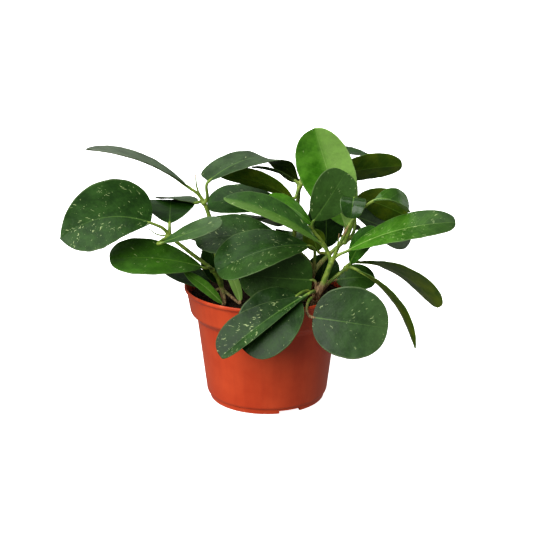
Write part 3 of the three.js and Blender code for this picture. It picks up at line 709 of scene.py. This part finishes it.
def midrib(leaf, share):
    """The blade's middle at a share of its length, and the ways along it, up from it and across it."""
    base = Vector(leaf["base"])
    tip = Vector(leaf["tip"])
    chord = (tip - base).normalized()
    face = Vector(leaf["face"])
    face = (face - chord * face.dot(chord)).normalized()
    aside = chord.cross(face)
    crown = base.lerp(tip, leaf.get("crown", 0.5))
    crown += face * 2 * leaf["arch"] + aside * 2 * leaf.get("sweep", 0)
    place = base * (1 - share) ** 2 + crown * 2 * share * (1 - share) + tip * share ** 2
    along = ((crown - base) * (1 - share) + (tip - crown) * share).normalized()
    up = Quaternion(chord, math.radians(leaf.get("twist", 0) * share**4)) @ face
    up = (up - along * up.dot(along)).normalized()
    return place, along, up, along.cross(up)


def catmull(points, count):
    """A smooth run through points, with so many steps between each two."""
    run = []
    ends = [points[0] * 2 - points[1], *points, points[-1] * 2 - points[-2]]
    for i in range(len(points) - 1):
        a, b, c, d = ends[i:i + 4]
        for k in range(count + (i == len(points) - 2)):
            t = k / count
            run.append(0.5 * (2 * b + (c - a) * t + (2 * a - 5 * b + 4 * c - d) * t ** 2
                              + (3 * b - a - 3 * c + d) * t ** 3))
    return run


def stalk_run(leaf, node):
    """The stations of a leaf's stalk: up from its node, and on along the underside of the midrib."""
    base, along, up, _ = midrib(leaf, 0)
    start = Vector(node)
    reach = (base - start).length
    lean = leaf.get("stalk", (0, 0, STALK_LEAN * reach))
    first = start.lerp(base, STALK_LEAN) + Vector(lean)
    second = base - along * STALK_APPROACH * reach
    run = []
    for i in range(STALK_STEPS + 1):
        t = i / STALK_STEPS
        spot = (start * (1 - t) ** 3 + first * 3 * t * (1 - t) ** 2
                + second * 3 * t ** 2 * (1 - t) + base * t ** 3)
        flare = 0.7 * math.exp(-t * reach / 2.5) + 0.25 * math.exp(-(1 - t) * reach / 3)
        run.append((spot, STALK_START + (STALK_END - STALK_START) * t + flare))
    length = (Vector(leaf["tip"]) - Vector(leaf["base"])).length
    for i in range(1, RUN_ON_STEPS + 1):
        share = RUN_ON_STEP * i
        spot, _, up, _ = midrib(leaf, share)
        fade = 1 - share / RUN_ON_END
        run.append((spot - up * RUN_ON_DEPTH, max(STALK_END * fade ** 1.3 * min(1, length / 60), 0.25)))
    return run


def tube(stations, points, faces):
    """Adds a closed round tube through stations of (place, radius) to a mesh."""
    side = Vector((1, 0, 0))
    first = len(points)
    for i, (spot, radius) in enumerate(stations):
        along = (stations[min(i + 1, len(stations) - 1)][0] - stations[max(i - 1, 0)][0]).normalized()
        side = (side - along * side.dot(along)).normalized()
        across = along.cross(side)
        points += [spot + (side * x + across * y) * radius for x, y in circle(1, TUBE_SIDES)]
    faces += ring_faces(first, len(stations), TUBE_SIDES)


def line_run(line):
    """The stations of a branch, fine enough to bend smoothly, with a slight unevenness of growth."""
    steps = max(2, round(math.dist(line[0][:3], line[1][:3]) / TUBE_STEP))
    spots = catmull([Vector(point[:3]) for point in line], steps)
    run = []
    for i, spot in enumerate(spots):
        share = i / (len(spots) - 1) * (len(line) - 1)
        k = min(int(share), len(line) - 2)
        radius = line[k][3] + (line[k + 1][3] - line[k][3]) * (share - k)
        run.append((spot, radius * (1 + GROWTH_WAVE * noise.noise(spot / 7))))
    return run


def swelling(centre):
    """The stations of the swollen joint where leaves spring from a stem."""
    run = []
    for i in range(NODE_RINGS):
        turn = math.pi * (i + 0.5) / NODE_RINGS
        run.append((centre + Vector((0, 0, -NODE_SIZE * math.cos(turn))), NODE_SIZE * math.sin(turn)))
    return run


def stem_bark():
    finish = Finish("green stem and bark", Roughness=0.5, Subsurface_Weight=0.05,
                    Subsurface_Radius=(0.002, 0.003, 0.001))
    place = finish.place()
    age, run, _ = finish.split(finish.attribute("growth"))
    mottle = finish.cloud(place, 6, 3)
    streak = finish.cloud(finish.stretch(place, (1, 1, 0.22)), 1.4, 3)
    green = finish.blend(mottle.step(0.35, 0.7), srgb(104, 134, 52), srgb(150, 170, 74))
    green = finish.blend(streak.step(0.5, 0.75) * 0.35, green, srgb(92, 104, 46))
    bark = finish.blend(streak.step(0.35, 0.65), srgb(112, 88, 58), srgb(176, 150, 112))
    cracks = finish.cloud(finish.stretch(place, (1, 1, 0.3)), 2.2, 5)
    bark = finish.blend(cracks.step(0.56, 0.66) * 0.7, bark, srgb(62, 46, 30))
    woody = (age + 0.5 * (mottle - 0.5)).step(0.35, 0.75)
    dots = finish.cloud(place, 0.9, 1).step(0.68, 0.76) * 0.5
    finish.feed("Base Color", finish.blend(woody, finish.blend(dots, green, srgb(186, 190, 128)), bark))
    finish.feed("Roughness", 0.42 + 0.35 * woody)
    skin = finish.bump(finish.cloud(place, 1.1, 3), 0.1)
    finish.feed("Normal", finish.bump(cracks * woody, 0.7, skin))
    return finish.material


def woodiness(corky, spot, dry):
    """How far a spot of a stem has turned to bark, from 0 to 1."""
    foot = max(0.0, 1 - (spot.z - SOIL_LEVEL) / corky)
    knob = max((max(0.0, 1 - (spot - centre).length / reach) for centre, reach in dry), default=0.0)
    return min(1.0, max(foot, 1.6 * knob))


def stem(name, bark):
    grown = STEMS[name]
    points = []
    faces = []
    x, y, z, radius = grown["lines"][0][0]
    tube([(Vector((x, y, height)), radius) for height in (ROOT_FOOT, z)], points, faces)
    for line in grown["lines"] + grown.get("shoots", []):
        tube(line_run(line), points, faces)
    for key, node in grown["nodes"].items():
        for leaf in LEAVES.values():
            if leaf["node"] == f"{name} {key}":
                tube(stalk_run(leaf, node), points, faces)
    for node in grown["nodes"].values():
        tube(swelling(Vector(node)), points, faces)
    rough = mesh_piece("rough_stem", [point * MM for point in points], faces)
    remesh = rough.modifiers.new("skin", "REMESH")
    remesh.mode = "VOXEL"
    remesh.voxel_size = VOXEL * MM
    smooth = rough.modifiers.new("smooth", "SMOOTH")
    smooth.factor = 0.5
    smooth.iterations = 5
    mesh = bpy.data.meshes.new_from_object(rough.evaluated_get(bpy.context.evaluated_depsgraph_get()))
    mesh.name = f"{name}_stem"
    bpy.data.objects.remove(rough)
    made = add_object(f"{name}_stem", mesh)
    dry = [(Vector(spot), reach) for *spot, reach in grown.get("dry", [])]
    growth = mesh.attributes.new("growth", "FLOAT_VECTOR", "POINT")
    values = []
    for vertex in mesh.vertices:
        spot = vertex.co / MM
        values += (woodiness(grown.get("corky", CORKY_FOOT), spot, dry), spot.z, 0.0)
    growth.data.foreach_set("vector", values)
    mesh.materials.clear()
    mesh.materials.append(bark)
    mesh.shade_smooth()
    return made


bark = stem_bark()
for name in STEMS:
    grown_stem = stem(name, bark)
    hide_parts(f"stem_{name}")
    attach(grown_stem, "root")


# ---------------------------------------------------------------------------------------------------------
# The leaf blades: thick, waxy and stiff, each one grown piece on its own stalk. The midrib is a groove above
# and a rib beneath. Old blades are dark and flecked with silver, and young ones are bright and nearly plain.

BLADE_ROWS = 56
BLADE_COLUMNS = 24
BLADE_THICK = 1.5
BLADE_EDGE = 0.75
BLADE_CUP = 0.1
BLADE_TIP = 1.2
OVAL = (0.6, 0.5)
PLAIN_LOOK = (0.15, 0.46, 0)
COLUMN_SPREAD = 0.55
FOLD = 0.6
FOLD_ROUND = 0.05
GROOVE_WIDTH = 1.3
GROOVE_DEPTH = 0.45
RIB_DEPTH = 0.5
RIPPLE = 0.55
WAVE = 0.018
AGES = {
    "old": {"slot": "leaf_old", "upper": srgb(50, 88, 28), "deep": srgb(28, 60, 13),
            "vein": srgb(104, 140, 66), "under": srgb(88, 106, 26), "rough": 0.36},
    "mid": {"slot": "leaf_mid", "upper": srgb(62, 110, 28), "deep": srgb(38, 80, 14),
            "vein": srgb(120, 160, 66), "under": srgb(102, 120, 26), "rough": 0.36},
    "young": {"slot": "leaf_young", "upper": srgb(96, 152, 46), "deep": srgb(64, 116, 26),
              "vein": srgb(172, 204, 120), "under": srgb(140, 166, 56), "rough": 0.34},
}
VEIN_SPACING = 4.2
STREAK_LENGTH = 7.5
STREAK_WIDTH = 1.5
DOT_LENGTH = 1.5
DOT_WIDTH = 1.3
# Near black for tone and painted shade, a pale rim with a painted highlight, a painted sheen, and silver.
FULL_DARK = srgb(8, 18, 7)
PALE_RIM_AND_HIGHLIGHT = srgb(150, 170, 118)
PAINTED_SHEEN_GREY = srgb(118, 124, 112)
SILVER = srgb(198, 214, 152)


def half_width(leaf, share, side):
    """Half of the blade's width at a share of its length, on the side that is negative for the left."""
    base, tip, part = leaf["left"] if side < 0 and "left" in leaf else (*leaf.get("ends", OVAL), 1)
    peak = base / (base + tip)
    fullest = peak ** base * (1 - peak) ** tip
    return max(leaf["width"] / 2 * part * share ** base * (1 - share) ** tip / fullest, BLADE_TIP)


def blade(name, leaf, material, seed):
    rows = []
    places = []
    parts = []
    looks = []
    flecks, tone_and_painted_shade, painted_sheen_or_gloss = leaf.get("look", PLAIN_LOOK)
    lower = [0.0] * (BLADE_COLUMNS + 1) + [0.5] + [1.0] * (BLADE_COLUMNS + 1) + [0.5]
    run = 0.0
    last = None
    shares = [(1 - math.cos(math.pi * i / BLADE_ROWS)) / 2 for i in range(BLADE_ROWS + 1)]
    fold = leaf.get("fold", FOLD)
    for i, share in enumerate(shares):
        spot, along, up, across = midrib(leaf, share)
        run += (spot - last).length if last else 0
        last = spot
        calm = min(1, 6 * share) * min(1, half_width(leaf, share, 1) / 6)
        top = []
        low = []
        here = []
        for j in range(BLADE_COLUMNS + 1):
            side = -math.cos(math.pi * j / BLADE_COLUMNS)
            side = COLUMN_SPREAD * side + (1 - COLUMN_SPREAD) * (2 * j / BLADE_COLUMNS - 1)
            half = half_width(leaf, share, side)
            wavy = 1 + calm * WAVE * noise.noise(Vector((run / 9, 3 * math.copysign(1, side), seed)))
            reach = half * side * wavy
            thick = BLADE_THICK + (BLADE_EDGE - BLADE_THICK) * side * side
            bent = fold * (math.hypot(side, FOLD_ROUND) - FOLD_ROUND) + (1 - fold) * side * side
            lift = leaf.get("cup", BLADE_CUP) * half * bent
            lift += calm * RIPPLE * (noise.noise(Vector((run / 16, reach / 13, seed))) * abs(side) ** 0.5
                                     + 0.8 * noise.noise(Vector((run / 7, seed, side))) * abs(side) ** 4)
            crease = math.exp(-(reach / GROOVE_WIDTH) ** 2) * (1 - 0.8 * share) * calm
            middle = spot + across * reach + up * lift
            top.append(middle + up * (thick / 2 - GROOVE_DEPTH * crease))
            low.append(middle - up * (thick / 2 + RIB_DEPTH * crease))
            # Painted light: one half, or the tip or base, lighter or darker as the light falls on the blade.
            painted_light = leaf.get("painted_light", 0) / 2 * math.tanh(6 * side) + leaf.get("painted_light_to_tip", 0) * (share - 0.5)
            here.append((reach, side, tone_and_painted_shade + painted_light))
        brink = BLADE_EDGE * 0.45
        right = (top[-1] + low[-1]) / 2 + across * brink
        left = (top[0] + low[0]) / 2 - across * brink
        rows.append([*top, right, *reversed(low), left])
        around = [*here, here[-1], *reversed(here), here[0]]
        places += [(run, reach, seed) for reach, _, _ in around]
        parts += [(share, side, under) for (_, side, _), under in zip(around, lower)]
        looks += [(flecks, pale, painted_sheen_or_gloss) for _, _, pale in around]
    points = [point * MM for row in rows for point in row]
    made = mesh_piece(f"blade_{name}", points, ring_faces(0, len(rows), len(rows[0])), material)
    for label, values in (("blade_place", places), ("blade_part", parts), ("blade_look", looks)):
        stored = made.data.attributes.new(label, "FLOAT_VECTOR", "POINT")
        stored.data.foreach_set("vector", [number for value in values for number in value])
    return made


def leaf_skin(name, look):
    """Waxy skin that follows the blade: mottled, veined and flecked with silver above, plain beneath, with
    painted shade and sheen.
    """
    vein = look["vein"]
    finish = Finish(name, Specular_IOR_Level=0.19, Coat_Roughness=0.12)
    place = finish.attribute("blade_place")
    run, reach, seed = finish.split(place)
    share, side, lower = finish.split(finish.attribute("blade_part"))
    flecks, tone_and_painted_shade, painted_sheen_or_gloss = finish.split(finish.attribute("blade_look"))
    span = abs(reach)
    which = reach.above(0.0) * 5 + seed * 1.7
    grown = finish.vector(run * MM, reach * MM, seed * MM * 40)
    patches = finish.cloud(grown, 13, 3)
    grains = finish.cloud(grown, 2.2, 4)
    colour = finish.blend((patches * 0.7 + grains * 0.3).step(0.32, 0.68), look["deep"], look["upper"])
    # Tone: partly the blade's own, partly painted shade where it lies in shadow and painted light where lit.
    colour = finish.blend((tone_and_painted_shade - 0.5) * 1.4, colour, vein)
    colour = finish.blend((0.5 - tone_and_painted_shade) * 1.6, colour, FULL_DARK)
    wander = finish.cloud(grown, 16, 2) * 3
    rib = (run - span * 0.8 + wander).fold(VEIN_SPACING)
    ribs = (1 - rib.step(0.0, 0.55)) * (1 - abs(side).step(0.6, 0.95)) * (1 - share.step(0.75, 0.95))
    colour = finish.blend(ribs * 0.07, colour, vein)
    midrib_width = 0.95 - 0.75 * share
    middle = 1 - (span / midrib_width).step(0.25, 1.1)
    colour = finish.blend(middle * (0.6 - 0.4 * share), colour, vein)
    # A pale rim: partly the margin's own paler tone, partly a painted edge highlight.
    rim = abs(side).step(0.95, 0.985)
    colour = finish.blend(rim * 0.22, colour, PALE_RIM_AND_HIGHLIGHT)
    # A painted grey sheen: a reflection laid into the colour, stronger towards the tip.
    painted_grey_sheen = painted_sheen_or_gloss.above(0.0) * painted_sheen_or_gloss * (0.3 + 0.8 * share) * (0.55 + 0.9 * patches)
    colour = finish.blend(painted_grey_sheen, colour, PAINTED_SHEEN_GREY)

    # Silver flecks lie in streaks that run out and forward from the midrib, some in each leaf.
    ahead = run * 0.82 + span * 0.57
    beside = span * 0.82 - run * 0.57
    drift = finish.cloud(grown, 3.5, 2) * 2.4
    slide = finish.cloud(grown, 9, 2) * 7
    streak_place = finish.vector((ahead + drift + slide) / STREAK_LENGTH,
                                 (beside - drift + slide) / STREAK_WIDTH, which)
    streak, (chance, size, pale) = finish.cells(streak_place)
    crowd = finish.cloud(grown, 12, 3).step(0.4, 0.66)
    ragged = streak + 0.35 * (finish.cloud(grown, 0.8, 2) - 0.5)
    streaks = 1 - ragged.step(0.08, 0.14 + 0.34 * size * size)
    streaks *= (flecks * crowd).above(chance) * (0.6 + 0.4 * pale)
    dot_place = finish.vector((run + drift) / DOT_LENGTH, (reach + drift) / DOT_WIDTH, which + 3)
    dot, (dot_chance, _, _) = finish.cells(dot_place)
    dots = (1 - dot.step(0.14, 0.3)) * (flecks * crowd * 0.16).above(dot_chance)
    silver = (streaks + dots * 0.7) * (1 - lower) * (1 - abs(side).step(0.9, 0.97))
    colour = finish.blend(silver * 0.85, colour, SILVER)

    beneath = finish.blend(patches.step(0.3, 0.7) * 0.6 + grains * 0.2, look["under"], look["deep"])
    beneath = finish.blend(middle * 0.6 + ribs * 0.15, beneath, vein)
    colour = finish.blend(lower.step(0.55, 0.9), colour, beneath)
    finish.feed("Base Color", colour)
    shine = (0 - painted_sheen_or_gloss).step(0.0, 1.0)
    uneven = 0.08 * (grains - 0.5) + 0.1 * (patches - 0.5)
    finish.feed("Roughness", look["rough"] + uneven + 0.12 * lower - 0.3 * shine)
    finish.feed("Coat Weight", 0.04 + 0.8 * shine)
    pores = finish.bump(finish.cloud(grown, 0.55, 2), 0.035)
    swell = finish.bump(finish.cloud(grown, 7, 3), 0.5, pores)
    finish.feed("Normal", finish.bump(ribs * -0.4 + silver * 0.2, 0.08, swell))
    return finish.material


skins = {age: leaf_skin(f"waxy {age} leaf", look) for age, look in AGES.items()}
for number, (name, leaf) in enumerate(LEAVES.items()):
    age = leaf.get("age", "old")
    leaf_blade = blade(name, leaf, skins[age], 1 + number * 0.37)
    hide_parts(f"leaf_{name}")
    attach(leaf_blade, "root")


# ---------------------------------------------------------------------------------------------------------
# The studio: a plain white sweep, broad soft light from the left, the top and behind, and the camera a
# little over a metre away, looking slightly down.

FLOOR_REACH = 9
FLOOR_DROP = -0.0004
FLOOR_GLOW = 0.75
SWEEP_RADIUS = 3
SWEEP_STEPS = 12
SWEEP_SIDES = 96
WALL_TOP = 9
CAMERA_PLACE = (-0.0005, -1.2432, 0.5143)
CAMERA_TILT_DEG = 73
CAMERA_LENS = 88.3
CAMERA_SENSOR = 36
KEY_POWER = 3.0
KEY_SPREAD_DEG = 55
ROOM_GLOW = 0.25


def studio_floor():
    """A white sweep: a round floor that curves up into a wall all round, well beyond the camera."""
    finish = Finish("pale floor", Roughness=0.85, Emission_Color=srgb(255, 255, 255),
                    Emission_Strength=FLOOR_GLOW)
    clouds = finish.cloud(finish.place(), 400, 2)
    finish.feed("Base Color", finish.blend(clouds, srgb(244, 244, 243), srgb(248, 248, 247)))
    run = [(FLOOR_REACH, 0)]
    for k in range(1, SWEEP_STEPS + 1):
        turn = math.pi / 2 * k / SWEEP_STEPS
        run.append((FLOOR_REACH + SWEEP_RADIUS * math.sin(turn), SWEEP_RADIUS * (1 - math.cos(turn))))
    run.append((FLOOR_REACH + SWEEP_RADIUS, WALL_TOP))
    points = [(0, 0, FLOOR_DROP)]
    faces = []
    for radius, height in run:
        points += [(x, y, FLOOR_DROP + height) for x, y in circle(radius, SWEEP_SIDES)]
    for k in range(SWEEP_SIDES):
        after = (k + 1) % SWEEP_SIDES
        faces.append((0, 1 + k, 1 + after))
        for ring in range(len(run) - 1):
            low = 1 + ring * SWEEP_SIDES
            faces.append((low + k, low + k + SWEEP_SIDES, low + after + SWEEP_SIDES, low + after))
    made = mesh_piece("studio_floor", points, faces, finish.material)
    made.visible_diffuse = False
    made.visible_glossy = False
    made.visible_shadow = False
    return made


def shine(name, lamp, place, aim, power):
    """Aims a lamp from its place."""
    lamp.energy = power
    made = add_object(name, lamp)
    made.location = place
    made.rotation_euler = (Vector(aim) - Vector(place)).to_track_quat("-Z", "Y").to_euler()
    return made


def soft_light(name, place, aim, size, power):
    lamp = bpy.data.lights.new(name, "AREA")
    lamp.shape = "DISK"
    lamp.size = size
    return shine(name, lamp, place, aim, power)


studio_floor()
sun = bpy.data.lights.new("key light", "SUN")
sun.angle = math.radians(KEY_SPREAD_DEG)
shine("key light", sun, (-0.9, -1.1, 1.15), (0, 0, 0.1), KEY_POWER)
soft_light("top light", (-0.2, 0.1, 1.6), (0, 0, 0.1), 1.4, 9)
soft_light("back light", (1.5, 0.9, 0.8), (0, 0, 0.12), 0.7, 1.5)
soft_light("fill light", (0.2, 1.8, 1.0), (0, 0, 0.12), 1.5, 14).visible_glossy = False
world = bpy.data.worlds.new("studio")
world.use_nodes = True
background = world.node_tree.nodes["Background"].inputs
background["Color"].default_value = (1.0, 1.0, 1.0, 1.0)
background["Strength"].default_value = ROOM_GLOW
bpy.context.scene.world = world
bpy.context.scene.view_settings.view_transform = "Standard"
bpy.context.scene.view_settings.look = "Medium High Contrast"

lens = bpy.data.cameras.new("camera")
lens.lens = CAMERA_LENS
lens.sensor_width = CAMERA_SENSOR
lens.clip_end = 50
camera = add_object("camera", lens)
camera.location = CAMERA_PLACE
camera.rotation_euler = (math.radians(CAMERA_TILT_DEG), 0, 0)
bpy.context.scene.camera = camera
